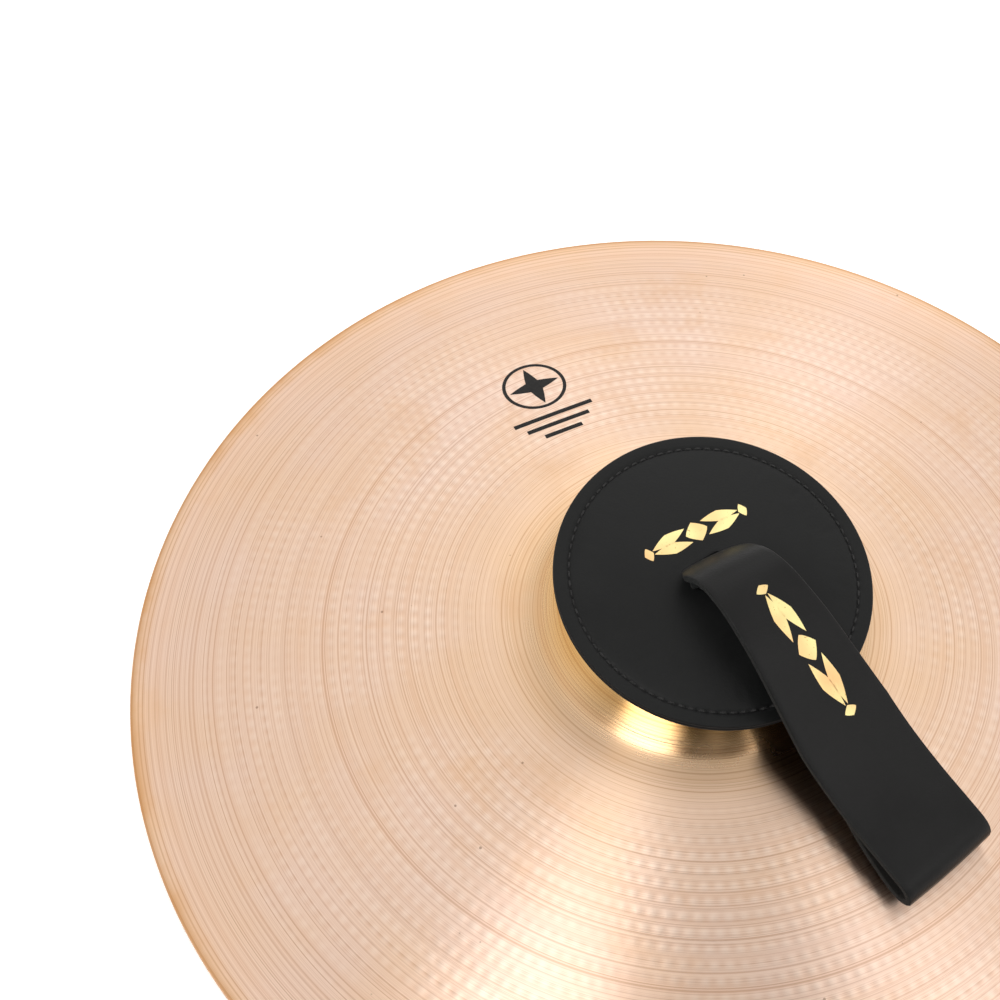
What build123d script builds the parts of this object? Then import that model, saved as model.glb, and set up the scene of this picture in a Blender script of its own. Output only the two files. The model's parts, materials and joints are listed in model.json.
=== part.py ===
from build123d import *
import math
import os

# A hand cymbal lying bell up on its rim, with its leather pad and hand strap.
# Millimetres. Origin: centre of the rim circle, on the surface it lies on.
# +Z runs up through the bell. +X is the way the hand loop is laid down.

# Bronze plate
cymbal_diameter = 457.2
edge_thickness = 1.0
bow_thickness = 1.3
bell_thickness = 1.7
bow_rise = 27.0            # rim plane up to the foot of the bell, on the top face
bell_diameter = 132.0      # at its foot
bell_rise = 24.0           # foot of the bell up to its crown
bell_foot_radius = 16.0    # hollow blend where the bow turns up into the bell
hole_diameter = 15.0
rim_land = 1.0             # width of the flat ring that the cymbal lies on

# Leather pad, sewn round a felt filling
pad_diameter = 127.0
pad_leather = 2.0
pad_crown = 4.0            # how far the middle of the top swells above its sewn rim
pad_tilt = 6.6             # degrees, down on the side of the hand loop
pad_off_centre = (3.0, 2.5)
felt_margin = 9.5          # from the pad's rim to the felt
stitch_inset = 6.0
stitch_pitch = 4.0
stitch_length = 2.9
stitch_width = 0.8
stitch_height = 0.35

# Leather strap: one length, doubled over, split into four thongs below the pad
strap_thickness = 3.0
root_width = 30.0          # where the strap leaves the pad
grip_width = 44.0          # across the palm
taper_start = 10.0         # distances from the middle between which the strap widens
taper_end = 80.0
root_rise = 3.5            # from the pad's top to the fold line of the strap
crest_rise = 15.0          # how far the laid-down loop arches above that fold line
crest_reach = 22.0
loop_reach = 141.0         # from the middle to the end of the loop
layer_gap = 0.6            # between the loop's two layers where they run together
knot_size = 30.0
knot_height = 13.0
tail_count = 4
tail_reach = 62.0          # how far the tails spread from the middle
tail_end_height = 6.0      # how far their ends hang above the rim plane

# Room between pieces
clearance = 0.3
felt_clearance = 0.1

# Worked out from the sizes above
cymbal_radius = cymbal_diameter / 2
bell_radius = bell_diameter / 2
hole_radius = hole_diameter / 2
crown_height = bow_rise + bell_rise
bell_sphere = (bell_radius**2 + bell_rise**2) / (2 * bell_rise)
bell_sphere_centre = crown_height - bell_sphere
tilt = math.radians(pad_tilt)
pad_base = bell_sphere_centre + (bell_sphere + clearance) / math.cos(tilt)
pad_radius = pad_diameter / 2
pad_rim_thickness = 2 * pad_leather
pad_thickness = pad_rim_thickness + pad_crown
fold_height = pad_base + pad_thickness + root_rise
strap_pair = 2 * strap_thickness
felt_radius = pad_radius - felt_margin
felt_edge = pad_leather / 3        # the felt's thickness at its edge
lying = strap_thickness / 2 + clearance        # middle of a strap above what it lies on
thong_width = math.sqrt((hole_radius - clearance)**2 - strap_thickness**2)
slot_length = root_width + 2 * clearance
pad_edge = pad_off_centre[0] + pad_radius        # towards the loop
slot_width = strap_pair + 2 * (pad_thickness * math.tan(tilt) + clearance)
knot_corner_drop = bell_sphere - math.sqrt(bell_sphere**2 - knot_size**2 / 2)
knot_top = crown_height - bell_thickness - knot_corner_drop
top_foot = (bell_radius, bow_rise)         # points of the half sections, as (radius, height)
top_edge = (cymbal_radius, edge_thickness)
pad_middle = (0, pad_thickness)
swell_edge = (felt_radius, pad_rim_thickness + felt_edge)


def height_on_arc(radius, inner, outer):
    """Height at a radius on the arc, centred on the axis, through two (radius, height) points."""
    centre = (outer[0]**2 + outer[1]**2 - inner[0]**2 - inner[1]**2) / (2 * (outer[1] - inner[1]))
    arc_radius = math.hypot(outer[0], outer[1] - centre)
    return centre + math.sqrt(arc_radius**2 - radius**2)


def arc_on_axis(start_radius, end_radius, inner, outer):
    """The stretch of that arc between two radii, in the XZ plane."""
    middle = (start_radius + end_radius) / 2
    return ThreePointArc(*[(r, height_on_arc(r, inner, outer)) for r in (start_radius, middle, end_radius)])


def flat_band(points):
    """The strap's thickness along a route in the XZ plane, with each corner as an arc as large as its runs allow."""
    radii = []
    for before, corner, after in zip(points, points[1:], points[2:]):
        run_in = Vector(*corner) - Vector(*before)
        run_out = Vector(*after) - Vector(*corner)
        turn = math.radians(run_in.get_angle(run_out))
        radii.append(0.45 * min(run_in.length, run_out.length) / math.tan(turn / 2))
    middle = FilletPolyline(*points, radius=radii)
    return Plane.XZ * make_face(offset(middle, strap_thickness / 2, side=Side.BOTH))


def seat_pad(shape):
    """Put a shape drawn level at the origin where the tilted pad lies."""
    return Pos(0, 0, pad_base) * Rot(0, pad_tilt, 0) * shape


def over_pad(distance, above):
    """A point over the pad: a distance along it towards the loop, and a height above its underside."""
    return (distance * math.cos(tilt) + above * math.sin(tilt),
            pad_base + above * math.cos(tilt) - distance * math.sin(tilt))


def over_bow(share, above):
    """A point over the bow: a share of the way from the pad's rim to the end of the loop, and a height above it."""
    distance = pad_edge + share * (loop_reach - pad_edge)
    return (distance, height_on_arc(distance, top_foot, top_edge) + above)


def make_cymbal_plate():
    under_foot = (bell_radius - bow_thickness, bow_rise - bow_thickness)
    under_edge = (cymbal_radius - rim_land, 0)
    top_crown = (0, crown_height)
    under_crown = (0, crown_height - bell_thickness)
    bell_top = arc_on_axis(hole_radius, bell_radius, top_crown, top_foot)
    bow_top = arc_on_axis(bell_radius, cymbal_radius, top_foot, top_edge)
    bow_under = arc_on_axis(under_edge[0], under_foot[0], under_foot, under_edge)
    bell_under = arc_on_axis(under_foot[0], hole_radius, under_crown, under_foot)
    rim = Polyline(top_edge, (cymbal_radius, 0), under_edge)
    hole_wall = Line(bell_under @ 1, bell_top @ 0)
    section = make_face([bell_top, bow_top, rim, bow_under, bell_under, hole_wall])
    for foot, radius in ((top_foot, bell_foot_radius), (under_foot, bell_foot_radius + bow_thickness)):
        corner = section.vertices().sort_by_distance(foot)[0]
        section = fillet(corner, radius)
    return revolve(Plane.XZ * section, Axis.Z)


def pad_disc(section_lines):
    """Turn a half section about the pad's own middle, and cut the slot for the strap."""
    disc = Pos(*pad_off_centre, 0) * revolve(Plane.XZ * make_face(section_lines), Axis.Z)
    slot = extrude(Rectangle(slot_width, slot_length), pad_thickness * 2, both=True)
    return seat_pad(disc - slot)


def make_pad_bottom():
    return pad_disc(Polyline((0, 0), (pad_radius, 0), (pad_radius, pad_leather), (0, pad_leather), close=True))


def make_pad_felt():
    radius = felt_radius - felt_clearance
    middle = (0, pad_leather + pad_crown - felt_clearance)
    edge = (radius, pad_leather + felt_edge - felt_clearance)
    swell = arc_on_axis(0, radius, middle, edge)
    sides = Polyline(middle, (0, pad_leather), (radius, pad_leather), edge)
    return pad_disc([swell, sides])


def make_pad_top():
    under_middle = (0, pad_leather + pad_crown)
    under_edge = (felt_radius, pad_leather + felt_edge)
    under = arc_on_axis(0, felt_radius, under_middle, under_edge)
    swell = arc_on_axis(0, felt_radius, pad_middle, swell_edge)
    rim = Polyline(swell_edge, (pad_radius - stitch_inset - stitch_width, pad_rim_thickness),
                   (pad_radius, pad_rim_thickness), (pad_radius, pad_leather),
                   (felt_radius, pad_leather), under_edge)
    return pad_disc([swell, rim, under, Line(under_middle, pad_middle)])


def make_pad_stitching():
    radius = pad_radius - stitch_inset
    count = round(2 * math.pi * radius / stitch_pitch)
    stitches = []
    for height in (pad_rim_thickness + stitch_height / 2, -stitch_height / 2):
        for index in range(count):
            place = Pos(*pad_off_centre, height) * Rot(0, 0, 360 * index / count) * Pos(radius, 0, 0)
            stitches.append(seat_pad(place * Box(stitch_width, stitch_length, stitch_height)))
    return Compound(children=stitches)


def make_strap_stem():
    """The doubled strap in the pad's slot, and its four thongs side by side in the cymbal's hole."""
    shoulder = crown_height + clearance * 4
    upper = Pos(0, 0, (shoulder + fold_height) / 2) * Box(strap_pair, root_width, fold_height - shoulder)
    fold = Pos(0, 0, fold_height) * Rot(90, 0, 0) * Cylinder(strap_thickness, root_width)
    bundle = Pos(0, 0, (knot_top + shoulder) / 2) * Box(strap_pair, 2 * thong_width, shoulder - knot_top)
    return upper + fold + bundle


def make_knot():
    block = Pos(0, 0, knot_top - knot_height / 2) * Box(knot_size, knot_size, knot_height)
    return fillet(block.edges(), knot_height / 3)


def beneath(points, gap):
    """The inner points of a line that falls away to +X, moved square to the line and downwards."""
    moved = []
    for before, point, after in zip(points, points[1:], points[2:]):
        run, rise = after[0] - before[0], after[1] - before[1]
        length = math.hypot(run, rise)
        moved.append((point[0] + gap * rise / length, point[1] - gap * run / length))
    return moved


def make_hand_loop():
    """The strap laid down flat: over the fold, out past the pad's rim, and back close under itself."""
    wrap = strap_thickness + clearance + strap_thickness / 2
    upper = [(0.5, fold_height + wrap), (9, fold_height + wrap + 4), (crest_reach, fold_height + crest_rise),
             (crest_reach * 2, fold_height + crest_rise * 0.4), over_pad(pad_edge - 2, pad_rim_thickness + 9),
             over_bow(0.22, 22.5), over_bow(0.58, 15.5), over_bow(0.98, 13)]
    end = [over_bow(1, lying + 1), over_bow(0.61, lying + 1)]
    together = beneath(upper[:7], strap_thickness + layer_gap)
    lower = together[::-1] + [(strap_pair + 1, fold_height + strap_thickness / 2)]
    band = flat_band(upper + end + lower)
    half_root, half_grip = root_width / 2, grip_width / 2
    far = cymbal_radius
    plan = Polyline((-far, -half_root), (taper_start, -half_root), (taper_end, -half_grip), (far, -half_grip),
                    (far, half_grip), (taper_end, half_grip), (taper_start, half_root), (-far, half_root),
                    close=True)
    return extrude(band, grip_width, both=True) & extrude(make_face(plan), cymbal_radius)


def make_tail(index):
    root_height = knot_top - knot_height - lying
    middle_height = (root_height + tail_end_height) / 2
    points = [(strap_pair, root_height), (knot_size / 2, root_height - 1),
              ((knot_size / 2 + tail_reach) / 2, middle_height), (tail_reach, tail_end_height)]
    tail = extrude(flat_band(points), thong_width / 2, both=True)
    return Rot(0, 0, 45 + 360 / tail_count * index) * tail


pieces = {
    "cymbal_plate": make_cymbal_plate(),
    "pad_bottom_leather": make_pad_bottom(),
    "pad_felt_filling": make_pad_felt(),
    "pad_top_leather": make_pad_top(),
    "pad_stitching": make_pad_stitching(),
    "strap_stem": make_strap_stem(),
    "strap_knot": make_knot(),
    "hand_loop": make_hand_loop(),
}
for index in range(tail_count):
    pieces[f"strap_tail_{index + 1}"] = make_tail(index)

os.makedirs("parts", exist_ok=True)
for name, shape in pieces.items():
    export_step(shape, f"parts/{name}.step")
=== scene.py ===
import json
import math

import bpy
from mathutils import Matrix, Vector


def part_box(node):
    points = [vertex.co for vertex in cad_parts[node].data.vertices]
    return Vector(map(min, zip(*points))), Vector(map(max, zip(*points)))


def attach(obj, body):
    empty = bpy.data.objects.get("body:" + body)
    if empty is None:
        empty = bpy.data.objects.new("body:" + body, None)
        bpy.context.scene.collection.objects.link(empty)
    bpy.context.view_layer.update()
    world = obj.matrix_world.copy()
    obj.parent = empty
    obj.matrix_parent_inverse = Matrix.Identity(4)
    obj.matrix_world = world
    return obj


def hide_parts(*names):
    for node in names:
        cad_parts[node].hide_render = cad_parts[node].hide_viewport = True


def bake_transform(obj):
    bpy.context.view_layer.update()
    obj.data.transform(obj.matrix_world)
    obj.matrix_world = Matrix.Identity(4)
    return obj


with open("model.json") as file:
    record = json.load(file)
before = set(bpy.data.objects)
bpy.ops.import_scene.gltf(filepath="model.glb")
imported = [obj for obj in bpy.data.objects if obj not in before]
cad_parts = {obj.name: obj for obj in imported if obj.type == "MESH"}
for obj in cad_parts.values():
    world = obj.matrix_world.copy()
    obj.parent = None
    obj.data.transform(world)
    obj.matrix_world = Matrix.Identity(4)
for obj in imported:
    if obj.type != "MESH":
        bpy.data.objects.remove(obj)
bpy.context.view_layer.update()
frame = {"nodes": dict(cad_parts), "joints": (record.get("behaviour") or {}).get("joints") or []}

# A hand cymbal lying bell up, with its sewn leather pad and its hand strap laid down towards +X.
# Metres, in the frame of the CAD part; lengths that a maker would give in millimetres are times MM.
MM = 0.001

# Sizes read from the frame
knot_low, knot_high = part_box("strap_knot")
joints = {joint["name"]: joint for joint in frame["joints"]}

RIM_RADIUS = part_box("cymbal_plate")[1].x
PAD_BASE = joints["pad_rock"]["pos_m"][2]      # underside of the pad, on the cymbal's axis

# Bronze plate
HOLE_RADIUS = 7.5 * MM
BELL_RADIUS = 66 * MM
BOW_RISE = 27 * MM
CROWN = 51 * MM
EDGE_THICKNESS = 1.0 * MM
BOW_THICKNESS = 1.3 * MM
BELL_THICKNESS = 1.7 * MM
FOOT_BLEND = 5.5 * MM          # how gently the bell runs out into the bow
FOOT_LIFT = 0.12 * MM          # what that blend would add to the height elsewhere
ROW_PITCH = 1.15 * MM          # spacing of the turned rows
PLATE_STEPS = 288

# Leather pad
PAD_RADIUS = 63.5 * MM
PAD_TILT = math.radians(6.6)
PAD_OFF_CENTRE = Vector((3.0 * MM, 2.5 * MM, 0))
PAD_LEATHER = 2.0 * MM
PAD_CROWN = 4.0 * MM
FELT_RADIUS = 54 * MM
STITCH_RADIUS = 57.5 * MM
STITCHES = 90
SEAM_START = 56.4 * MM                  # the leather is held down from here outwards
SLOT_RING = 4 * MM                      # the innermost ring of a pad leather, which is opened into the slot
SLOT_HALF = (4.8 * MM, 8.4 * MM)
SLOT_SHIFT = Vector((1.4 * MM, 0))      # towards the side where the strap bends over

# Strap
STRAP_THICKNESS = 3.0 * MM
ROOT_WIDTH = 30 * MM
GRIP_WIDTH = 44 * MM
THONG_WIDTH = 6.5 * MM
SHOULDERS = (57 * MM, 70 * MM)  # heights between which the thongs widen to the root
TAPER = (10 * MM, 80 * MM)     # distances from the axis between which the root widens to the grip
SKEW = 0.15                    # how far the fold leans towards +Y, as a slope
SKEW_FADE = (6 * MM, 40 * MM)  # distances from the axis between which that lean runs out
KNOT_LAYERS = (2.6 * MM, 9.0 * MM)             # depths of the two layers of folds below the knot's top
FOLD_SIZE = (22 * MM, 9.5 * MM, 4.6 * MM)      # one fold of a thong in the knot

# Marks: place, and heading in degrees
MARK_PLACE, MARK_HEADING = (-137 * MM, 23 * MM), 77
PAD_FOIL_PLACE, PAD_FOIL_HEADING = (-13.5 * MM, 7 * MM), 82
STRAP_FOIL_PLACE, STRAP_FOIL_HEADING = (53 * MM, 2.5 * MM), 4
FILM_HEIGHT = 120 * MM         # above every piece, from where a film is dropped onto one


# ---------------------------------------------------------------- small tools

def clear_selection():
    if bpy.context.mode != "OBJECT":
        bpy.ops.object.mode_set(mode="OBJECT")
    bpy.ops.object.select_all(action="DESELECT")


def new_piece(name):
    """Name the primitive that was just added, and settle its place into its mesh."""
    piece = bpy.context.active_object
    bpy.ops.object.transform_apply(location=True, rotation=True, scale=True)
    piece.name = piece.data.name = name
    return piece


def make_active(piece):
    clear_selection()
    piece.select_set(True)
    bpy.context.view_layer.objects.active = piece


def apply_modifier(piece, kind, **settings):
    make_active(piece)
    modifier = piece.modifiers.new(kind.title(), kind)
    for key, value in settings.items():
        setattr(modifier, key, value)
    bpy.ops.object.modifier_apply(modifier=modifier.name)


def tidy_mesh(piece, gap=0.00001):
    make_active(piece)
    bpy.ops.object.mode_set(mode="EDIT")
    bpy.ops.mesh.select_all(action="SELECT")
    bpy.ops.mesh.remove_doubles(threshold=gap)
    bpy.ops.mesh.normals_make_consistent(inside=False)
    bpy.ops.object.mode_set(mode="OBJECT")


def smooth(piece, angle=40):
    make_active(piece)
    bpy.ops.object.shade_smooth_by_angle(angle=math.radians(angle))


def turned(name, section, steps):
    """Spin a half section of (radius, height) points round the Z axis, as on a lathe."""
    clear_selection()
    bpy.ops.mesh.primitive_plane_add(size=MM, location=(section[0][0], 0, section[0][1]))
    piece = new_piece(name)
    bpy.ops.object.mode_set(mode="EDIT")
    bpy.ops.mesh.merge(type="CENTER")
    for before, after in zip(section, section[1:]):
        move = (after[0] - before[0], 0, after[1] - before[1])
        bpy.ops.mesh.extrude_region_move(TRANSFORM_OT_translate={"value": move})
    bpy.ops.mesh.select_all(action="SELECT")
    bpy.ops.mesh.spin(steps=steps, angle=2 * math.pi, center=(0, 0, 0), axis=(0, 0, 1))
    bpy.ops.object.mode_set(mode="OBJECT")
    tidy_mesh(piece)
    return piece


def ease(value):
    """0 to 1, gently at both ends."""
    value = min(1, max(0, value))
    return value * value * (3 - 2 * value)


def mix(a, b, share):
    return a + (b - a) * share


def height_on_arc(radius, inner, outer):
    """Height at a radius on the arc, centred on the axis, through two (radius, height) points."""
    centre = (outer[0]**2 + outer[1]**2 - inner[0]**2 - inner[1]**2) / (2 * (outer[1] - inner[1]))
    return centre + math.sqrt(math.hypot(outer[0], outer[1] - centre)**2 - radius**2)


# ------------------------------------------------------------------ materials

def colour(hex_code):
    """An sRGB hex colour as the linear values that a shader takes."""
    values = [int(hex_code[i:i + 2], 16) / 255 for i in (1, 3, 5)]
    return [v / 12.92 if v <= 0.04045 else ((v + 0.055) / 1.055)**2.4 for v in values] + [1]


def add_node(tree, kind, inputs=None, **settings):
    """Add a node: settings are its properties, inputs are values or sockets to link."""
    node = tree.nodes.new(kind)
    for key, value in settings.items():
        setattr(node, key, value)
    for key, value in (inputs or {}).items():
        if isinstance(value, bpy.types.NodeSocket):
            tree.links.new(value, node.inputs[key])
        else:
            node.inputs[key].default_value = value
    return node


def calc(tree, operation, *values):
    inputs = dict(enumerate(values))
    return add_node(tree, "ShaderNodeMath", inputs, operation=operation).outputs[0]


def ramp(tree, factor, stops):
    """A colour ramp with stops as (position, hex colour or grey)."""
    node = add_node(tree, "ShaderNodeValToRGB", {"Fac": factor})
    elements = node.color_ramp.elements
    while len(elements) < len(stops):
        elements.new(0.5)
    for element, (place, shade) in zip(elements, stops):
        element.position = place
        element.color = colour(shade) if isinstance(shade, str) else (shade, shade, shade, 1)
    return node.outputs[0]


def blend_colours(tree, factor, a, b, mode="MIX"):
    node = add_node(tree, "ShaderNodeMix", data_type="RGBA", blend_type=mode)
    for index, value in ((0, factor), (6, a), (7, b)):
        if isinstance(value, bpy.types.NodeSocket):
            tree.links.new(value, node.inputs[index])
        else:
            node.inputs[index].default_value = value
    return node.outputs[2]


def new_material(name):
    material = bpy.data.materials.new(name)
    material.use_nodes = True
    tree = material.node_tree
    return material, tree, tree.nodes["Principled BSDF"].inputs


def link(tree, output, socket):
    tree.links.new(output, socket)


def bump(tree, height, depth, base=None):
    """Relief of a real depth in metres."""
    inputs = {"Height": height, "Distance": depth, "Strength": 1.0}
    if base:
        inputs["Normal"] = base
    return add_node(tree, "ShaderNodeBump", inputs).outputs[0]


def lathed_bronze():
    """Cast B20 bronze, hammered and then turned: fine rings, deeper cuts, rows of hammer marks, tarnish."""
    material, tree, surface = new_material("lathed_bronze")
    place = add_node(tree, "ShaderNodeTexCoord").outputs["Object"]
    axes = add_node(tree, "ShaderNodeSeparateXYZ", {0: place}).outputs
    x_mm = calc(tree, "DIVIDE", axes[0], MM)
    y_mm = calc(tree, "DIVIDE", axes[1], MM)
    squares = calc(tree, "ADD", calc(tree, "MULTIPLY", x_mm, x_mm), calc(tree, "MULTIPLY", y_mm, y_mm))
    radius = calc(tree, "SQRT", squares)                       # in millimetres
    out = calc(tree, "DIVIDE", radius, RIM_RADIUS / MM)        # 0 at the axis, 1 at the rim
    angle = calc(tree, "ARCTAN2", y_mm, x_mm)
    level = add_node(tree, "ShaderNodeVectorMath", {0: place, 1: (1, 1, 0)}, operation="MULTIPLY").outputs[0]
    outwards = add_node(tree, "ShaderNodeVectorMath", {0: level}, operation="NORMALIZE").outputs[0]

    def rings(pitch, detail):
        """Uneven rings about this many millimetres apart."""
        across = calc(tree, "DIVIDE", radius, pitch)
        return add_node(tree, "ShaderNodeTexNoise", {"W": across, "Scale": 1.0, "Detail": detail},
                        noise_dimensions="1D").outputs[0]

    def patches(size, detail):
        """Cloudy variation about this many millimetres across."""
        return add_node(tree, "ShaderNodeTexNoise", {"Vector": place, "Scale": 1 / (size * MM),
                                                     "Detail": detail, "Roughness": 0.6}).outputs[0]

    # The turning tool leaves rings just under 1 mm apart, in bands of 4 or 5 mm.
    # Deeper cuts come every 8 mm or so, and fade along the ring.
    fine = rings(0.8, 2.0)
    middle = rings(4.5, 2.0)
    cuts = ramp(tree, rings(7.5, 2.0), [(0.0, 0.0), (0.368, 0.0), (0.378, 1.0), (0.388, 0.0), (1.0, 0.0)])
    fading = ramp(tree, patches(60, 2.0), [(0.36, 0.25), (0.60, 1.0)])
    cuts = calc(tree, "MULTIPLY", cuts, fading)
    scratches = ramp(tree, rings(2.1, 3.0), [(0.0, 0.0), (0.60, 0.0), (0.625, 1.0), (0.65, 0.0), (1.0, 0.0)])
    scratches = calc(tree, "MULTIPLY", scratches, ramp(tree, patches(24, 2.0), [(0.42, 0.0), (0.62, 1.0)]))

    # Hammer marks stand in rings 5.6 mm apart, about as far from mark to mark.
    ring_pitch = 5.6
    ring_place = calc(tree, "DIVIDE", radius, ring_pitch)
    ring_number = calc(tree, "FLOOR", ring_place)
    ring_radius = calc(tree, "MULTIPLY", calc(tree, "ADD", ring_number, 0.5), ring_pitch)
    ring_length = calc(tree, "MULTIPLY", ring_radius, 2 * math.pi)
    marks = calc(tree, "ROUND", calc(tree, "DIVIDE", ring_length, ring_pitch))
    turn = calc(tree, "ADD", calc(tree, "DIVIDE", calc(tree, "MULTIPLY", angle, marks), 2 * math.pi),
                calc(tree, "MULTIPLY", ring_number, 0.37))
    along = calc(tree, "COSINE", calc(tree, "MULTIPLY", turn, 2 * math.pi))
    across = calc(tree, "COSINE", calc(tree, "MULTIPLY", ring_place, 2 * math.pi))
    mark = calc(tree, "MULTIPLY", calc(tree, "SUBTRACT", 1.0, across), calc(tree, "ADD", along, 1.0))
    hammered = ramp(tree, patches(60, 2.0), [(0.36, 0.1), (0.60, 1.0)])
    zone = ramp(tree, out, [(0.36, 0.0), (0.46, 1.0), (0.80, 1.0), (0.90, 0.0)])
    mark = calc(tree, "MULTIPLY", calc(tree, "MULTIPLY", calc(tree, "DIVIDE", mark, 4.0), hammered), zone)

    # Colour: pale pink-gold on the bow, yellower on the bell, browner at the rim
    shade = ramp(tree, out, [(0.0, "#d8ae6c"), (0.25, "#dcb67c"), (0.30, "#e0c4a2"), (0.37, "#e6cdb6"),
                             (0.60, "#ead3c3"), (0.97, "#ead1be"), (1.0, "#e4c5a4")])
    pinkish = ramp(tree, patches(55, 2.0), [(0.35, "#fff6ea"), (0.65, "#fffaf8")])
    shade = blend_colours(tree, 1.0, shade, pinkish, "MULTIPLY")
    ring_tint = ramp(tree, middle, [(0.3, "#efdfd0"), (0.5, "#ffffff")])
    shade = blend_colours(tree, 0.25, shade, ring_tint, "MULTIPLY")
    fine_tint = ramp(tree, fine, [(0.32, "#c4a48a"), (0.50, "#ffffff")])
    shade = blend_colours(tree, 0.38, shade, fine_tint, "MULTIPLY")
    hair_tint = ramp(tree, rings(0.42, 1.0), [(0.35, "#c9ab92"), (0.55, "#ffffff")])
    shade = blend_colours(tree, 0.22, shade, hair_tint, "MULTIPLY")
    shade = blend_colours(tree, calc(tree, "MULTIPLY", mark, 0.27), shade, colour("#fff0e2"))
    shade = blend_colours(tree, calc(tree, "MULTIPLY", cuts, 0.46), shade, colour("#9a7350"))
    shade = blend_colours(tree, calc(tree, "MULTIPLY", scratches, 0.28), shade, colour("#a9805e"))
    tarnish = ramp(tree, patches(34, 5.0), [(0.56, 0.0), (0.74, 1.0)])
    shade = blend_colours(tree, calc(tree, "MULTIPLY", tarnish, 0.30), shade, colour("#e0b184"))
    # The band at the rim is coloured browner in patches, most of all on the side that faces -X and -Y.
    rim_band = ramp(tree, out, [(0.965, 0.0), (0.995, 1.0)])
    rim_browning = calc(tree, "MULTIPLY", rim_band, ramp(tree, patches(26, 4.0), [(0.40, 0.0), (0.60, 1.0)]))
    browner_side = add_node(tree, "ShaderNodeVectorMath", {0: outwards, 1: (-0.72, -0.69, 0)},
                            operation="DOT_PRODUCT").outputs["Value"]
    rim_browning = calc(tree, "MULTIPLY", rim_browning, ramp(tree, browner_side, [(0.35, 0.12), (0.9, 1.0)]))
    shade = blend_colours(tree, calc(tree, "MULTIPLY", rim_browning, 0.50), shade, colour("#cf9658"))
    rim_edge = ramp(tree, out, [(0.993, 0.0), (0.9975, 1.0)])
    shade = blend_colours(tree, calc(tree, "MULTIPLY", rim_edge, 0.6), shade, colour("#b98450"))
    spots = add_node(tree, "ShaderNodeTexVoronoi", {"Vector": place, "Scale": 1 / (19 * MM)})
    specks = ramp(tree, spots.outputs["Distance"], [(0.0, 1.0), (0.024, 1.0), (0.034, 0.0)])
    shade = blend_colours(tree, calc(tree, "MULTIPLY", specks, 0.55), shade, colour("#6e4a32"))
    link(tree, shade, surface["Base Color"])

    surface["Metallic"].default_value = 1.0
    rough = ramp(tree, out, [(0.24, 0.24), (0.32, 0.28), (0.42, 0.36)])
    link(tree, calc(tree, "ADD", rough, calc(tree, "MULTIPLY", tarnish, 0.05)), surface["Roughness"])
    # Light smears across the rings, so the grain of the anisotropy runs outwards from the middle.
    surface["Anisotropic"].default_value = 0.9
    link(tree, outwards, surface["Tangent"])

    relief = bump(tree, mark, 0.05 * MM)
    relief = bump(tree, middle, 0.02 * MM, relief)
    relief = bump(tree, fine, 0.015 * MM, relief)
    relief = bump(tree, calc(tree, "SUBTRACT", 1.0, cuts), 0.03 * MM, relief)
    link(tree, relief, surface["Normal"])
    return material


def smooth_leather(name, face, deep, grain_mm, roughness):
    """Vegetable-tanned hide with a black finish: tight shallow grain, a dull shine."""
    material, tree, surface = new_material(name)
    place = add_node(tree, "ShaderNodeTexCoord").outputs["Object"]
    grain = add_node(tree, "ShaderNodeTexVoronoi", {"Vector": place, "Scale": 1 / (grain_mm * MM)},
                     feature="SMOOTH_F1").outputs["Distance"]
    clouds = add_node(tree, "ShaderNodeTexNoise", {"Vector": place, "Scale": 1 / (22 * MM),
                                                   "Detail": 4.0}).outputs[0]
    pores = add_node(tree, "ShaderNodeTexNoise", {"Vector": place, "Scale": 1 / (0.5 * MM),
                                                  "Detail": 3.0}).outputs[0]
    shade = ramp(tree, clouds, [(0.35, deep), (0.65, face)])
    shade = blend_colours(tree, calc(tree, "MULTIPLY", pores, 0.25), shade, colour("#0c0c0d"))
    link(tree, shade, surface["Base Color"])
    link(tree, ramp(tree, clouds, [(0.3, roughness - 0.05), (0.7, roughness + 0.06)]), surface["Roughness"])
    surface["IOR"].default_value = 1.5
    surface["Specular IOR Level"].default_value = 0.17
    surface["Sheen Weight"].default_value = 0.015
    surface["Sheen Roughness"].default_value = 0.5
    relief = bump(tree, grain, 0.05 * MM)
    relief = bump(tree, pores, 0.03 * MM, relief)
    relief = bump(tree, clouds, 0.25 * MM, relief)
    link(tree, relief, surface["Normal"])
    return material


def raw_leather(name, light, dark, fibre_mm):
    """The cut edge and the flesh side: matt, fibrous, dyed nearly black."""
    material, tree, surface = new_material(name)
    place = add_node(tree, "ShaderNodeTexCoord").outputs["Object"]
    fibres = add_node(tree, "ShaderNodeTexNoise", {"Vector": place, "Scale": 1 / (fibre_mm * MM),
                                                   "Detail": 6.0, "Roughness": 0.7,
                                                   "Distortion": 1.2}).outputs[0]
    link(tree, ramp(tree, fibres, [(0.3, dark), (0.62, light)]), surface["Base Color"])
    surface["Roughness"].default_value = 0.92
    surface["Specular IOR Level"].default_value = 0.2
    surface["Sheen Weight"].default_value = 0.04
    surface["Sheen Roughness"].default_value = 0.6
    link(tree, bump(tree, fibres, 0.35 * MM), surface["Normal"])
    return material


def wool_felt():
    """Pressed grey wool felt: soft, with short tangled fibres."""
    material, tree, surface = new_material("pressed_wool_felt")
    place = add_node(tree, "ShaderNodeTexCoord").outputs["Object"]
    fibres = add_node(tree, "ShaderNodeTexNoise", {"Vector": place, "Scale": 1 / (0.8 * MM), "Detail": 8.0,
                                                   "Distortion": 2.0}).outputs[0]
    link(tree, ramp(tree, fibres, [(0.3, "#4a4a4c"), (0.7, "#77777a")]), surface["Base Color"])
    surface["Roughness"].default_value = 0.95
    surface["Sheen Weight"].default_value = 0.4
    link(tree, bump(tree, fibres, 0.3 * MM), surface["Normal"])
    return material


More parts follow.
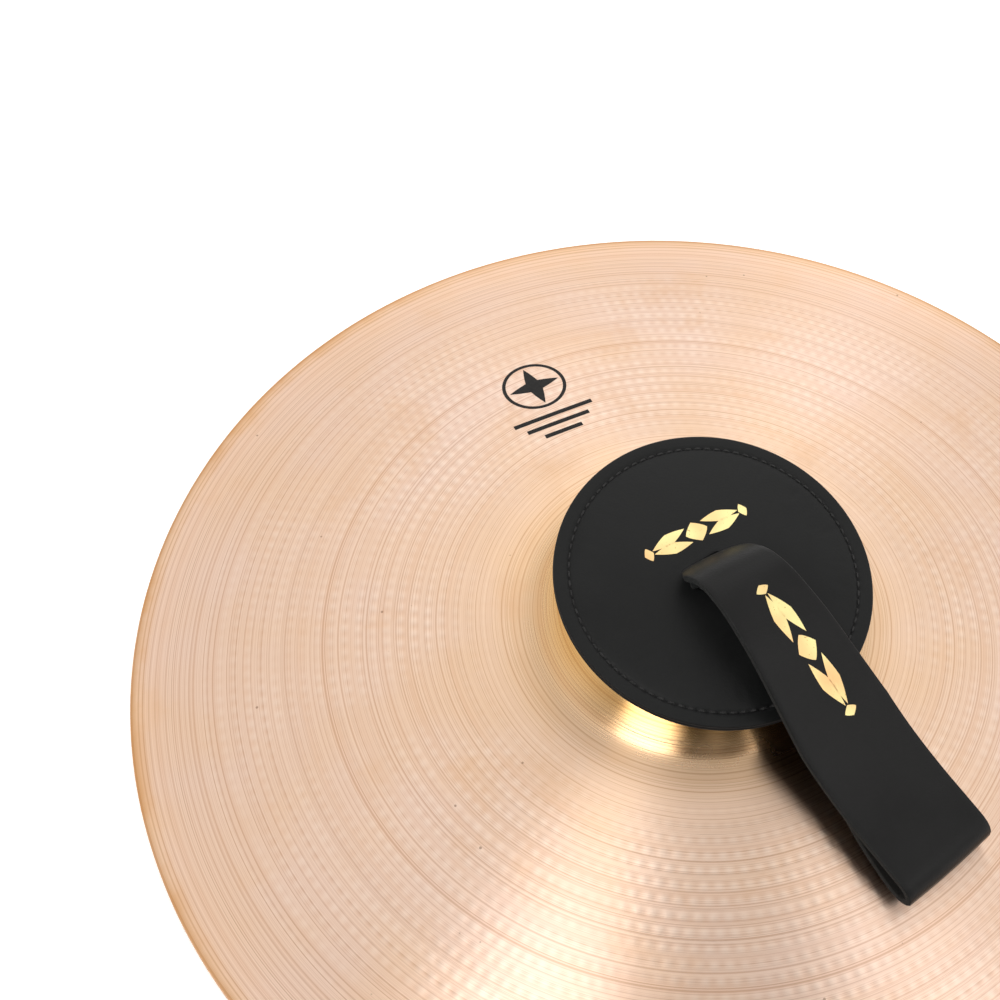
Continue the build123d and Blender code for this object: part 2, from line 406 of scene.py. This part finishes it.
def waxed_thread():
    """Black waxed polyester thread, 0.8 mm: a slight shine along its twist."""
    material, tree, surface = new_material("waxed_black_thread")
    place = add_node(tree, "ShaderNodeTexCoord").outputs["Object"]
    twist = add_node(tree, "ShaderNodeTexWave", {"Vector": place, "Scale": 1 / (2.2 * MM), "Distortion": 1.0},
                     bands_direction="DIAGONAL").outputs["Fac"]
    link(tree, ramp(tree, twist, [(0.2, "#070707"), (0.8, "#161616")]), surface["Base Color"])
    surface["Roughness"].default_value = 0.55
    link(tree, bump(tree, twist, 0.1 * MM), surface["Normal"])
    return material


def gold_foil():
    """Hot-stamped gold foil on leather: bright and thin, with the grain showing through and tiny gaps."""
    material, tree, surface = new_material("stamped_gold_foil")
    place = add_node(tree, "ShaderNodeTexCoord").outputs["Object"]
    wear = add_node(tree, "ShaderNodeTexNoise", {"Vector": place, "Scale": 1 / (0.9 * MM),
                                                 "Detail": 4.0}).outputs[0]
    sweep = add_node(tree, "ShaderNodeTexNoise", {"Vector": place, "Scale": 1 / (14 * MM),
                                                  "Detail": 1.0}).outputs[0]
    shade = ramp(tree, sweep, [(0.35, "#f0c48c"), (0.65, "#f6e6a4")])
    shade = blend_colours(tree, ramp(tree, wear, [(0.26, 1.0), (0.34, 0.0)]), shade, colour("#a87a3c"))
    link(tree, shade, surface["Base Color"])
    surface["Metallic"].default_value = 1.0
    surface["Roughness"].default_value = 0.42
    link(tree, bump(tree, wear, 0.04 * MM), surface["Normal"])
    return material


def black_ink():
    """Screen-printed black ink: flat and matt, a little thin where it lies over the rings."""
    material, tree, surface = new_material("printed_black_ink")
    place = add_node(tree, "ShaderNodeTexCoord").outputs["Object"]
    thin = add_node(tree, "ShaderNodeTexNoise", {"Vector": place, "Scale": 1 / (1.5 * MM),
                                                 "Detail": 3.0}).outputs[0]
    link(tree, ramp(tree, thin, [(0.3, "#0c0b0b"), (0.7, "#1b1918")]), surface["Base Color"])
    surface["Roughness"].default_value = 0.6
    surface["Specular IOR Level"].default_value = 0.3
    link(tree, bump(tree, thin, 0.03 * MM), surface["Normal"])
    return material


def studio_floor():
    """Matt white studio paper, very faintly uneven."""
    material, tree, surface = new_material("white_studio_paper")
    place = add_node(tree, "ShaderNodeTexCoord").outputs["Object"]
    pulp = add_node(tree, "ShaderNodeTexNoise", {"Vector": place, "Scale": 1 / (2.5 * MM),
                                                 "Detail": 3.0}).outputs[0]
    link(tree, ramp(tree, pulp, [(0.3, "#f4f4f4"), (0.7, "#fafafa")]), surface["Base Color"])
    surface["Roughness"].default_value = 0.9
    surface["Specular IOR Level"].default_value = 0.1
    surface["Emission Color"].default_value = colour("#ffffff")
    surface["Emission Strength"].default_value = 0.35
    return material


def dress(piece, *materials):
    """Put these finishes on a piece, in slot order."""
    piece.data.materials.clear()
    for material in materials:
        piece.data.materials.append(material)


# ------------------------------------------------------------------ the plate

def plate_top(radius):
    """Height of the plate's upper face: bell, a hollow blend at its foot, then the bow."""
    foot, edge = (BELL_RADIUS, BOW_RISE), (RIM_RADIUS, EDGE_THICKNESS)
    bow = height_on_arc(radius, foot, edge)
    bell = height_on_arc(min(radius, BELL_RADIUS * 1.3), (0, CROWN), foot)
    gap = bell - bow
    return (bell + bow + math.sqrt(gap * gap + FOOT_BLEND * FOOT_BLEND / 4)) / 2 - FOOT_LIFT


def plate_under(radius):
    """Height of its lower face: the wall thins from the crown to the rim."""
    share = min(1, radius / BELL_RADIUS)
    wall = mix(BELL_THICKNESS, BOW_THICKNESS, share)
    if radius > BELL_RADIUS:
        wall = mix(BOW_THICKNESS, EDGE_THICKNESS, (radius - BELL_RADIUS) / (RIM_RADIUS - BELL_RADIUS))
    return max(0.0, plate_top(radius) - wall)


def lathe_cut(radius):
    """Relief left by the turning tool: uneven ridges, up to 0.015 mm."""
    r = radius / MM
    return 0.008 * MM * (math.sin(r * 2.74) * math.sin(r * 0.61 + 1) + 0.8 * math.sin(r * 1.37 + 0.4))


def make_plate(bronze):
    rim_round = 0.25 * MM
    rows = round((RIM_RADIUS - rim_round - HOLE_RADIUS) / ROW_PITCH)
    section = []
    for row in range(rows + 1):
        radius = mix(HOLE_RADIUS, RIM_RADIUS - rim_round, row / rows)
        fade = ease(row / 4) * ease((rows - row) / 3)
        section.append((radius, plate_top(radius) + lathe_cut(radius) * fade))
    section += [(RIM_RADIUS, EDGE_THICKNESS - rim_round), (RIM_RADIUS, rim_round),
                (RIM_RADIUS - rim_round, 0)]
    under_rows = 44
    land = 1.0 * MM
    for row in range(under_rows + 1):
        radius = mix(RIM_RADIUS - land, HOLE_RADIUS, row / under_rows)
        section.append((radius, plate_under(radius)))
    section.append(section[0])
    plate = turned("bronze_plate", section, PLATE_STEPS)

    # Hammering leaves the whole bow very slightly uneven.
    unevenness = bpy.data.textures.new("hammering", "CLOUDS")
    unevenness.noise_scale = 16 * MM
    apply_modifier(plate, "DISPLACE", texture=unevenness, texture_coords="LOCAL", direction="Z",
                   strength=0.10 * MM, mid_level=0.5)
    # The rim still rests on the floor: what is under this height is brought back down.
    rim_zone = 2 * MM
    lift = min(vertex.co.z for vertex in plate.data.vertices)
    for vertex in plate.data.vertices:
        vertex.co.z = max(0.0, vertex.co.z - lift * ease(1 - vertex.co.z / rim_zone))
    smooth(plate, 50)
    dress(plate, bronze)
    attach(plate, "cymbal")
    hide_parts("cymbal_plate")
    return plate


def lens(name, length, width, centre=(0, 0), turn=0.0):
    """A flat pointed oval, like a leaf."""
    clear_selection()
    bpy.ops.mesh.primitive_circle_add(vertices=24, radius=0.5, fill_type="TRIFAN")
    piece = new_piece(name)
    for vertex in piece.data.vertices:
        x = vertex.co.x * 2
        vertex.co.x, vertex.co.y = x * length / 2, vertex.co.y * width * math.sqrt(max(0, 1 - abs(x)))
    piece.data.transform(Matrix.Translation((*centre, 0)) @ Matrix.Rotation(math.radians(turn), 4, "Z"))
    return piece


def bar(name, length, width, centre):
    """A flat bar."""
    clear_selection()
    bpy.ops.mesh.primitive_grid_add(x_subdivisions=10, y_subdivisions=2, size=1)
    piece = new_piece(name)
    for vertex in piece.data.vertices:
        vertex.co.x, vertex.co.y = vertex.co.x * length + centre[0], vertex.co.y * width + centre[1]
    return piece


def stamp(name, shapes, centre, heading, target, material, thickness):
    """Join flat shapes, turn them to a heading, and lay them on the top of a piece as a thin film."""
    make_active(shapes[0])
    for shape in shapes:
        shape.select_set(True)
    bpy.ops.object.join()
    mark = shapes[0]
    mark.name = mark.data.name = name
    apply_modifier(mark, "SUBSURF", levels=2, render_levels=2, subdivision_type="SIMPLE")
    above = Matrix.Translation((*centre, FILM_HEIGHT))
    mark.data.transform(above @ Matrix.Rotation(math.radians(heading), 4, "Z"))
    apply_modifier(mark, "SHRINKWRAP", target=target, wrap_method="PROJECT", use_project_z=True,
                   use_negative_direction=True, use_positive_direction=False, offset=0.04 * MM)
    point_up(mark)
    apply_modifier(mark, "SOLIDIFY", thickness=thickness, offset=1)
    smooth(mark, 40)
    dress(mark, material)
    return mark


def make_printed_mark(ink, plate):
    """A plain four-point star in a ring over three short bars, printed on the bow."""
    ring = turned("mark_ring", [(13.0 * MM, 0), (14.6 * MM, 0)], 64)
    shapes = [ring, lens("mark_star", 24 * MM, 7 * MM), lens("mark_star", 24 * MM, 7 * MM, turn=90)]
    for row, length in enumerate((38, 30, 18)):
        shapes.append(bar("mark_bar", length * MM, 2.2 * MM, (0, -(20 + 5.5 * row) * MM)))
    mark = stamp("printed_mark", shapes, MARK_PLACE, MARK_HEADING, plate, ink, 0.03 * MM)
    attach(mark, "cymbal")


def foil_ornament(name, length):
    """A lozenge between two pairs of leaves, with a small one at each end."""
    shapes = [lens(name, 9 * MM, 10 * MM, turn=90)]
    for side in (-1, 1):
        for tilt in (-1, 1):
            middle = (side * length * 0.26, tilt * 2.1 * MM)
            shapes.append(lens(name, length * 0.36, 5 * MM, middle, turn=side * tilt * -9))
        shapes.append(lens(name, 4 * MM, 6 * MM, (side * length * 0.48, 0)))
    return shapes


def make_foils(foil, pad, strap):
    """Hot-stamped ornaments, one on the pad and one along the strap."""
    film = 0.05 * MM
    shapes = foil_ornament("pad_foil", 46 * MM)
    on_pad = stamp("pad_foil", shapes, PAD_FOIL_PLACE, PAD_FOIL_HEADING, pad, foil, film)
    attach(on_pad, "pad")
    shapes = foil_ornament("strap_foil", 52 * MM)
    on_strap = stamp("strap_foil", shapes, STRAP_FOIL_PLACE, STRAP_FOIL_HEADING, strap, foil, film)
    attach(on_strap, "grip")


# -------------------------------------------------------------------- the pad

def seat_pad(piece):
    """Move a piece drawn level round the pad's own middle to where the tilted pad lies."""
    tilt = Matrix.Rotation(PAD_TILT, 4, "Y")
    piece.data.transform(Matrix.Translation((0, 0, PAD_BASE)) @ tilt @ Matrix.Translation(PAD_OFF_CENTRE))


def pad_surface(radius):
    """Height of the pad's top leather above its underside, at a radius from the pad's own middle."""
    sewn_height, felt_edge, run_out = 2 * PAD_LEATHER, 0.75 * MM, 3 * MM
    if radius < FELT_RADIUS:
        return height_on_arc(radius, (0, sewn_height + PAD_CROWN), (FELT_RADIUS, sewn_height + felt_edge))
    return sewn_height + felt_edge * (1 - ease((radius - FELT_RADIUS) / run_out))


def cut_slot(piece):
    """Open the innermost ring of vertices into the slot that the strap comes through."""
    unmoved = 26 * MM
    for vertex in piece.data.vertices:
        flat = vertex.co.xy
        reach = flat.length
        share = 1 - ease((reach - SLOT_RING) / (unmoved - SLOT_RING))
        angle = math.atan2(flat.y, flat.x)
        width, length = abs(math.cos(angle)) / SLOT_HALF[0], abs(math.sin(angle)) / SLOT_HALF[1]
        slot_reach = (width**8 + length**8)**(-1 / 8)
        spot = flat.normalized() * (reach + (slot_reach - SLOT_RING) * share)
        spot += (SLOT_SHIFT - PAD_OFF_CENTRE.xy) * share
        vertex.co.x, vertex.co.y = spot.x, spot.y


def make_pad_top(leather, raw):
    """The top leather: sewn flat round its rim, and swelled by the felt that it covers."""
    rows = 26
    swell_end = 56 * MM
    section = []
    for row in range(rows + 1):
        radius = mix(SLOT_RING, swell_end, row / rows)
        section.append((radius, pad_surface(radius)))
    # The stitching pulls the leather down into a shallow channel, and the rim is rounded off.
    for radius, drop in ((56.7, 0.10), (57.1, 0.26), (57.5, 0.32), (57.9, 0.26), (58.4, 0.08), (59.4, 0.0),
                         (61.4, 0.0), (62.6, 0.04), (63.5, 0.12)):
        section.append((radius * MM, 2 * PAD_LEATHER - drop * MM))
    steps = STITCHES * 4
    pad = turned("pad_top", section, steps)
    point_up(pad)
    cut_slot(pad)
    swell(pad)
    # Needle holes, four mesh steps apart along the channel
    channel_half, hole_depth = 0.45 * MM, 0.7 * MM
    for vertex in pad.data.vertices:
        flat = vertex.co.xy
        step = round(math.atan2(flat.y, flat.x) / (2 * math.pi) * steps) % 4
        if step == 0 and abs(flat.length - STITCH_RADIUS) < channel_half:
            vertex.co.z -= hole_depth
    apply_modifier(pad, "SOLIDIFY", thickness=PAD_LEATHER, offset=-1, use_even_offset=False)
    for vertex in pad.data.vertices:
        vertex.co.z = max(vertex.co.z, PAD_LEATHER)
    apply_modifier(pad, "BEVEL", width=0.5 * MM, segments=2, limit_method="ANGLE",
                   angle_limit=math.radians(70))
    seat_pad(pad)
    smooth(pad, 55)
    dress(pad, leather, raw)
    for face in pad.data.polygons:
        if face.normal.xy.length > 0.9:
            face.material_index = 1
    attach(pad, "pad")
    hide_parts("pad_top_leather")
    return pad


def point_up(piece):
    """Make the faces of an open sheet look up."""
    if sum(face.normal.z for face in piece.data.polygons) < 0:
        make_active(piece)
        bpy.ops.object.mode_set(mode="EDIT")
        bpy.ops.mesh.select_all(action="SELECT")
        bpy.ops.mesh.flip_normals()
        bpy.ops.object.mode_set(mode="OBJECT")


def swell(pad):
    """Let the felt press the leather up: cloth held at the seam and at the slot, under pressure."""
    slot_hem, most, frames = 3 * MM, 1.2 * MM, 20
    held = []
    for vertex in pad.data.vertices:
        offset = vertex.co.xy + PAD_OFF_CENTRE.xy - SLOT_SHIFT
        at_slot = abs(offset.x) < SLOT_HALF[0] + slot_hem and abs(offset.y) < SLOT_HALF[1] + slot_hem
        if vertex.co.xy.length > SEAM_START or at_slot:
            held.append(vertex.index)
    group = pad.vertex_groups.new(name="sewn")
    group.add(held, 1.0, "REPLACE")
    before = [vertex.co.copy() for vertex in pad.data.vertices]
    make_active(pad)
    cloth = pad.modifiers.new("Cloth", "CLOTH")
    cloth.settings.quality = 4
    cloth.settings.mass = 0.3
    cloth.settings.tension_stiffness = cloth.settings.compression_stiffness = 40
    cloth.settings.bending_stiffness = 5
    cloth.settings.vertex_group_mass = "sewn"
    cloth.settings.use_pressure = True
    cloth.settings.uniform_pressure_force = 4
    cloth.settings.effector_weights.gravity = 0
    cloth.collision_settings.use_self_collision = False
    scene = bpy.context.scene
    cloth.point_cache.frame_start, cloth.point_cache.frame_end = 1, frames
    for frame_number in range(1, frames + 1):
        scene.frame_set(frame_number)
    relaxed = pad.evaluated_get(bpy.context.evaluated_depsgraph_get()).data
    moved = []
    for vertex, old in zip(relaxed.vertices, before):
        move = vertex.co - old
        moved.append(old + move * min(1, most / max(move.length, most)))
    pad.modifiers.remove(cloth)
    for vertex, place in zip(pad.data.vertices, moved):
        vertex.co = place
    pad.vertex_groups.clear()
    scene.frame_set(1)


def make_pad_bottom(leather, raw):
    """The bottom leather: flat, with its cut edge worn round."""
    worn = 0.3 * MM
    top = PAD_LEATHER - 0.03 * MM
    section = [(SLOT_RING, worn), (SLOT_RING, top)]
    section += [(radius * MM, top) for radius in (12, 26, 45, 60, 63)]
    section += [(PAD_RADIUS - 0.1 * MM, top - worn), (PAD_RADIUS, PAD_LEATHER / 2),
                (PAD_RADIUS - 0.2 * MM, worn), (PAD_RADIUS - 0.7 * MM, 0.02 * MM)]
    section += [(radius * MM, 0.0) for radius in (58, 45, 26, 12)]
    section += [(SLOT_RING + worn, 0.0), section[0]]
    pad = turned("pad_bottom", section, 180)
    cut_slot(pad)
    seat_pad(pad)
    smooth(pad, 50)
    dress(pad, leather, raw)
    for face in pad.data.polygons:
        if face.normal.xy.length > 0.75:
            face.material_index = 1
    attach(pad, "pad")
    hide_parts("pad_bottom_leather")


def make_stitching(thread):
    """Lockstitch round the pad: each stitch is a short bar that dives into its holes at both ends."""
    length, thick, dive = 3.0 * MM, 0.8 * MM, 2.0 * MM
    clear_selection()
    bpy.ops.mesh.primitive_cylinder_add(vertices=6, radius=thick / 2, depth=length,
                                        rotation=(math.pi / 2, 0, 0))
    stitch = new_piece("pad_stitches")
    bpy.ops.object.mode_set(mode="EDIT")
    bpy.ops.mesh.select_all(action="SELECT")
    bpy.ops.mesh.bisect(plane_co=(0, length / 4, 0), plane_no=(0, 1, 0))
    bpy.ops.mesh.select_all(action="SELECT")
    bpy.ops.mesh.bisect(plane_co=(0, -length / 4, 0), plane_no=(0, 1, 0))
    bpy.ops.object.mode_set(mode="OBJECT")
    for vertex in stitch.data.vertices:
        vertex.co.z -= dive * max(0, abs(vertex.co.y) / (length / 2) - 0.45)**1.5
    copies = []
    half_step = math.pi / STITCHES      # stitches lie between the needle holes
    for face_height in (2 * PAD_LEATHER - 0.15 * MM, 0.12 * MM):
        for index in range(STITCHES):
            copy = stitch.copy()
            copy.data = stitch.data.copy()
            bpy.context.collection.objects.link(copy)
            spin = Matrix.Rotation(index * 2 * math.pi / STITCHES + half_step, 4, "Z")
            flip = Matrix.Scale(-1, 4, (0, 0, 1)) if face_height < PAD_LEATHER else Matrix.Identity(4)
            place = spin @ Matrix.Translation((STITCH_RADIUS, 0, face_height))
            copy.data.transform(place @ flip)
            copies.append(copy)
    # The pattern stitch is emptied, and the copies are joined into it.
    make_active(stitch)
    bpy.ops.object.mode_set(mode="EDIT")
    bpy.ops.mesh.select_all(action="SELECT")
    bpy.ops.mesh.delete(type="VERT")
    bpy.ops.object.mode_set(mode="OBJECT")
    for copy in copies:
        copy.select_set(True)
    bpy.ops.object.join()
    seat_pad(stitch)
    tidy_mesh(stitch, 0.000001)
    smooth(stitch, 60)
    dress(stitch, thread)
    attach(stitch, "pad")
    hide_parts("pad_stitching")


# ------------------------------------------------------------------ the strap

def through(points, step=2 * MM):
    """A smooth line through (x, z) points, cut into even steps."""
    knots = [Vector(point) for point in points]
    reach = [0.0]
    for before, after in zip(knots, knots[1:]):
        reach.append(reach[-1] + (after - before).length)
    last = len(knots) - 1
    slopes = []
    for index in range(last + 1):
        low, high = max(0, index - 1), min(last, index + 1)
        slopes.append((knots[high] - knots[low]) / (reach[high] - reach[low]))
    fine = []
    parts = 24
    for index in range(last):
        length = reach[index + 1] - reach[index]
        for t in (part / parts for part in range(parts)):
            start, end = 2 * t**3 - 3 * t**2 + 1, 3 * t**2 - 2 * t**3
            leave, arrive = (t**3 - 2 * t**2 + t) * length, (t**3 - t**2) * length
            fine.append(knots[index] * start + slopes[index] * leave + knots[index + 1] * end
                        + slopes[index + 1] * arrive)
    fine.append(knots[-1])
    lengths = [0.0]
    for before, after in zip(fine, fine[1:]):
        lengths.append(lengths[-1] + (after - before).length)
    count = round(lengths[-1] / step)
    even, at = [], 0
    for index in range(count + 1):
        wanted = lengths[-1] * index / count
        while at < len(fine) - 2 and lengths[at + 1] < wanted:
            at += 1
        share = (wanted - lengths[at]) / (lengths[at + 1] - lengths[at])
        even.append(fine[at].lerp(fine[at + 1], min(1, share)))
    return even


def strap_width(x, z):
    """The strap's width at a point of its side view: thongs in the hole, shoulders, then the hand's width."""
    shoulder = 1 if x > TAPER[0] else ease((z - SHOULDERS[0]) / (SHOULDERS[1] - SHOULDERS[0]))
    root = mix(2 * THONG_WIDTH, ROOT_WIDTH, shoulder)
    return mix(root, GRIP_WIDTH, min(1, max(0, (x - TAPER[0]) / (TAPER[1] - TAPER[0]))))


def band(name, route, width_at, across=12, cup=0.0, skew=0.0, tuck=0.0):
    """A flat leather band laid along a route in the XZ plane, with eased edges.

    Its second half is narrower by tuck on the -Y side, so that it lies out of sight under the first.
    """
    clear_selection()
    bpy.ops.mesh.primitive_grid_add(x_subdivisions=len(route) - 1, y_subdivisions=across, size=2)
    piece = new_piece(name)
    last = len(route) - 1
    for vertex in piece.data.vertices:
        at = round((vertex.co.x + 1) / 2 * last)
        side = vertex.co.y
        spot = route[at]
        ahead = (route[min(last, at + 1)] - route[max(0, at - 1)]).normalized()
        normal = Vector((-ahead.y, ahead.x))
        half = width_at(spot.x, spot.y) / 2
        lift = -cup * (side * side - 0.33)
        y = side * half
        if at > last / 2 and spot.x > TAPER[0]:
            y += tuck * (1 - side) / 2 * ease((at / last - 0.5) * 6)
        twist = skew * (1 - ease((spot.x - SKEW_FADE[0]) / (SKEW_FADE[1] - SKEW_FADE[0])))
        vertex.co = (spot.x + normal.x * lift + y * twist, y, spot.y + normal.y * lift)
    apply_modifier(piece, "SOLIDIFY", thickness=STRAP_THICKNESS, offset=0, use_even_offset=False)
    tidy_mesh(piece)
    apply_modifier(piece, "BEVEL", width=0.45 * MM, segments=2, limit_method="ANGLE",
                   angle_limit=math.radians(60))
    return piece


def finish_band(piece, grain, edge, flesh, outwards):
    """Grain side, flesh side and cut edges get their own finish; outwards says which way the grain faces."""
    smooth(piece, 50)
    dress(piece, grain, edge, flesh)
    for face in piece.data.polygons:
        if abs(face.normal.y) > 0.5:
            face.material_index = 1
        elif not outwards(face):
            face.material_index = 2


def hand_strap_route():
    """Side view of the doubled strap: up through the hole, over, out, round, and back close under itself."""
    upper = [(-1.6, 47.4), (-1.6, 53), (-1.5, 58), (0.1, 62.8), (3.8, 67.6), (7.8, 72.0), (11.8, 75.0),
             (16, 76.6), (21.5, 77.0), (27, 76.3), (33, 74.5), (46, 69.0), (64, 58.6), (82, 48.2)]
    end = [(96, 42.0), (112, 37.2), (128, 34.0), (137.5, 31.6), (140.3, 27.2), (137, 23.2), (127, 23.6),
           (112, 27.6), (97, 35.0)]
    lower = [(80.3, 45.2), (62.3, 55.5), (44.5, 65.8), (32.1, 71.1), (26.2, 72.9), (21.5, 73.5), (16.8, 73.2),
             (13.4, 71.9), (10.2, 69.5), (6.6, 65.7), (2.8, 61.6), (1.6, 57.6), (1.6, 53), (1.6, 47.4)]
    return through([(x * MM, z * MM) for x, z in upper + end + lower])


def make_hand_strap(grain, edge, flesh):
    """The strap from inside the bell to the hand's end and back, bent where the loop lifts off the pad."""
    route = hand_strap_route()
    strap = band("hand_strap", route, strap_width, across=14, cup=0.5 * MM, skew=SKEW, tuck=4 * MM)

    def outside(face):
        spot = Vector((face.center.x, face.center.z))
        nearest = min(range(len(route)), key=lambda i: (route[i] - spot).length_squared)
        ahead = route[min(len(route) - 1, nearest + 1)] - route[max(0, nearest - 1)]
        return -ahead.y * face.normal.x + ahead.x * face.normal.z > 0

    finish_band(strap, grain, edge, flesh, outside)
    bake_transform(strap)
    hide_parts("hand_loop", "strap_stem")
    return strap


def make_knot(grain):
    """The four thongs folded over each other, two layers of four."""
    off_axis = Matrix.Translation((2.8 * MM, 8.6 * MM, 0))
    tilt, hump = 1.5 * MM, 0.8 * MM
    bars = []
    for layer, depth in enumerate(KNOT_LAYERS):
        height = Matrix.Translation((0, 0, knot_high.z - depth))
        for index in range(4):
            clear_selection()
            bpy.ops.mesh.primitive_cube_add(size=1)
            bar = new_piece("strap_knot_folds")
            for vertex in bar.data.vertices:
                vertex.co = vertex.co * Vector(FOLD_SIZE)
            apply_modifier(bar, "BEVEL", width=2.0 * MM, segments=3)
            bpy.ops.object.mode_set(mode="EDIT")
            bpy.ops.mesh.select_all(action="SELECT")
            bpy.ops.mesh.bisect(plane_co=(0, 0, 0), plane_no=(1, 0, 0))
            bpy.ops.object.mode_set(mode="OBJECT")
            for vertex in bar.data.vertices:
                along = vertex.co.x / (FOLD_SIZE[0] / 2) * (1 if layer else -1)
                vertex.co.z += hump * (1 - along * along) - tilt * along
            spin = Matrix.Rotation(math.pi / 2 * index, 4, "Z")
            bar.data.transform(height @ spin @ off_axis)
            bars.append(bar)
    make_active(bars[0])
    for bar in bars:
        bar.select_set(True)
    bpy.ops.object.join()
    knot = bars[0]
    smooth(knot, 50)
    dress(knot, grain)
    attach(knot, "strap")
    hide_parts("strap_knot")


def make_tail(index, grain, edge, flesh):
    """One thong end below the knot, pared narrow at its tip."""
    name = f"tail_{index + 1}"
    azimuth = math.radians(45 + 90 * index)
    root_z = knot_low.z - 1.8 * MM
    pared, bend = 10 * MM, 8 * MM       # lengths of the pared tip, and of half the bend at the knot
    points = [(3.5, 0.4), (9, 0), (16, -1.2), (26, -6.5), (38, -15), (50, -22.5), (61.5, -27.0)]
    route = through([(x * MM, root_z + z * MM) for x, z in points])
    tip = route[-1].x

    def width(x, z):
        return THONG_WIDTH * (1 - 0.55 * ease((x - tip + pared) / pared))

    tail = band(f"strap_{name}_thong", route, width, across=4, cup=0.15 * MM)
    finish_band(tail, grain, edge, flesh, lambda face: face.normal.z < 0)
    tail.data.transform(Matrix.Rotation(azimuth, 4, "Z"))
    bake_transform(tail)
    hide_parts(f"strap_{name}")


# ------------------------------------------------------------------ the studio

def make_camera():
    data = bpy.data.cameras.new("camera")
    camera = bpy.data.objects.new("camera", data)
    bpy.context.scene.collection.objects.link(camera)
    data.sensor_width = 36
    data.lens = 54
    data.shift_x = -0.13
    data.clip_start, data.clip_end = 0.02, 50
    look_down, heading, roll = 55.13, 45.0, 5.94      # degrees
    turn = (Matrix.Rotation(math.radians(heading), 4, "Z")
            @ Matrix.Rotation(math.radians(90 - look_down), 4, "X")
            @ Matrix.Rotation(math.radians(roll), 4, "Z"))
    camera.matrix_world = Matrix.Translation((0.20030, -0.24548, 0.55147)) @ turn
    bpy.context.scene.camera = camera


def soft_light(name, place, aim, size, power):
    """A white softbox, unseen by the camera."""
    data = bpy.data.lights.new(name, "AREA")
    data.shape = "RECTANGLE"
    data.size, data.size_y = size
    data.energy = power
    lamp = bpy.data.objects.new(name, data)
    bpy.context.scene.collection.objects.link(lamp)
    lamp.location = place
    lamp.rotation_euler = (Vector(aim) - Vector(place)).to_track_quat("-Z", "Y").to_euler()
    lamp.visible_camera = False


def make_studio():
    """White paper floor, and a pale room, darker low down on the near side, that the bronze mirrors."""
    scene = bpy.context.scene
    scene.view_settings.view_transform = "Standard"
    world = bpy.data.worlds.new("studio")
    scene.world = world
    world.use_nodes = True
    tree = world.node_tree
    background = tree.nodes["Background"]
    way = add_node(tree, "ShaderNodeTexCoord").outputs["Generated"]

    def patch(azimuth, elevation, inner, outer):
        """1 within the inner angle of this direction, 0 beyond the outer one, in degrees."""
        a, e = math.radians(azimuth), math.radians(elevation)
        aim = (math.cos(a) * math.cos(e), math.sin(a) * math.cos(e), math.sin(e))
        near = add_node(tree, "ShaderNodeVectorMath", {0: way, 1: aim}, operation="DOT_PRODUCT")
        limits = {"Value": near.outputs["Value"], "From Min": math.cos(math.radians(outer)),
                  "From Max": math.cos(math.radians(inner))}
        return add_node(tree, "ShaderNodeMapRange", limits, interpolation_type="SMOOTHSTEP").outputs[0]

    room = calc(tree, "ADD", calc(tree, "MULTIPLY", patch(-45, 15, 20, 75), -0.70), 1.03)
    # Two upright black flags make the dark bands in the bell.
    for azimuth, elevation in ((-38, 42), (-38, 54), (-38, 66), (-8, 40), (-8, 52), (-8, 64)):
        flag = calc(tree, "MULTIPLY", patch(azimuth, elevation, 3, 11), 0.9)
        room = calc(tree, "MULTIPLY", room, calc(tree, "SUBTRACT", 1.0, flag))
    # Two lamps light up the bell between them, and three faint patches vary the tone of the bow.
    lamps = ((-70, 56, 7, 15, 7.0), (19, 50, 6, 14, 2.4), (150, 48, 4, 22, 0.05), (112, 50, 3, 14, 0.05),
             (-172, 58, 4, 20, -0.10))
    for azimuth, elevation, inner, outer, strength in lamps:
        lamp = calc(tree, "MULTIPLY", patch(azimuth, elevation, inner, outer), strength)
        room = calc(tree, "ADD", room, lamp)
    link(tree, room, background.inputs["Strength"])
    background.inputs["Color"].default_value = colour("#fffdfb")

    clear_selection()
    bpy.ops.mesh.primitive_plane_add(size=12)
    floor = new_piece("studio_floor")
    for vertex in floor.data.vertices:
        vertex.co.z = -0.2 * MM
    dress(floor, studio_floor())
    soft_light("far_softbox", (-0.9, 1.0, 1.6), (0, 0, 0), (0.9, 0.9), 2.5)


bronze = lathed_bronze()
pad_leather = smooth_leather("black_pad_leather", "#191a1a", "#141515", 0.9, 0.46)
strap_leather = smooth_leather("black_strap_leather", "#191919", "#141414", 0.8, 0.40)
cut_edge = raw_leather("raw_strap_edge", "#1d201f", "#090a0a", 0.5)
flesh_side = raw_leather("strap_flesh_side", "#1c1a17", "#0b0a09", 0.6)
inked_edge = raw_leather("inked_pad_edge", "#1a1a1a", "#0c0c0c", 0.5)
thread = waxed_thread()
foil = gold_foil()

make_camera()
make_studio()
plate = make_plate(bronze)
make_printed_mark(black_ink(), plate)
pad_top = make_pad_top(pad_leather, inked_edge)
make_pad_bottom(pad_leather, inked_edge)
make_stitching(thread)
hand_strap = make_hand_strap(strap_leather, cut_edge, flesh_side)
make_foils(foil, pad_top, hand_strap)
make_knot(strap_leather)
for tail_index in range(4):
    make_tail(tail_index, strap_leather, cut_edge, flesh_side)
dress(frame["nodes"]["pad_felt_filling"], wool_felt())
